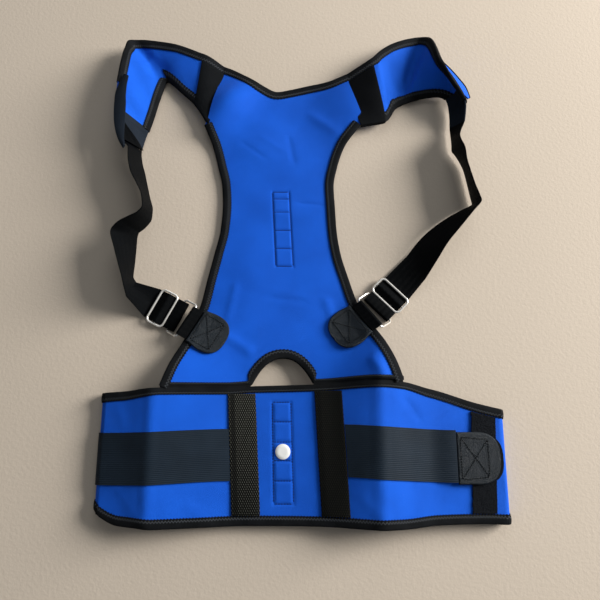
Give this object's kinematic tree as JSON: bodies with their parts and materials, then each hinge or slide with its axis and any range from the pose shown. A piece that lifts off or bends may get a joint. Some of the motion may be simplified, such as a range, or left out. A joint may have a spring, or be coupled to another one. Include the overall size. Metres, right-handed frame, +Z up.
{
  "type": "posture corrector",
  "caption": "Blue neoprene posture corrector lying flat: waisted back panel with shoulder wings, black webbing straps with wire buckles, and a waist belt with its ends folded under.",
  "frame": {"origin": "under the middle of the bounding box, on the surface that the object lies on", "axes": "+Z up from that surface, +Y from the waist belt towards the neckline, +X towards the belt's leather tab"},
  "size_m": [0.4408, 0.5762, 0.038],
  "materials": {
    "neoprene": "matt knit-faced neoprene, blue",
    "binding": "black tape",
    "webbing": "black woven webbing",
    "elastic": "dark ribbed elastic with a slight sheen",
    "leather": "dark grey grained leatherette",
    "fleece": "black hook and fleece tape",
    "metal": "bright bent wire",
    "label": "blank white"
  },
  "bodies": {
    "root": {"anchor_patch_left": "leather", "anchor_patch_right": "leather", "back_panel": "neoprene", "belt": "neoprene", "belt_binding_bottom": "binding", "belt_binding_top": "binding", "elastic_left": "elastic", "elastic_right": "elastic", "elastic_tab": "leather", "hem_binding": "binding", "hook_pad": "fleece", "loop_strip": "fleece", "neckline_binding": "binding", "panel_binding_left": "binding", "panel_binding_right": "binding", "ring_left": "metal", "ring_loop_left": "webbing", "ring_loop_right": "webbing", "ring_right": "metal", "size_sticker": "label", "slider_left": "metal", "slider_right": "metal", "stay_band_left": "webbing", "stay_band_right": "webbing", "strap_left": "webbing", "strap_right": "webbing", "wing_band_left": "webbing", "wing_band_right": "webbing", "wing_binding_inner_left": "binding", "wing_binding_inner_right": "binding", "wing_binding_outer_left": "binding", "wing_binding_outer_right": "binding", "wing_end_left": "webbing", "wing_end_right": "webbing", "wing_left": "neoprene", "wing_right": "neoprene"}
  },
  "joints": []
}
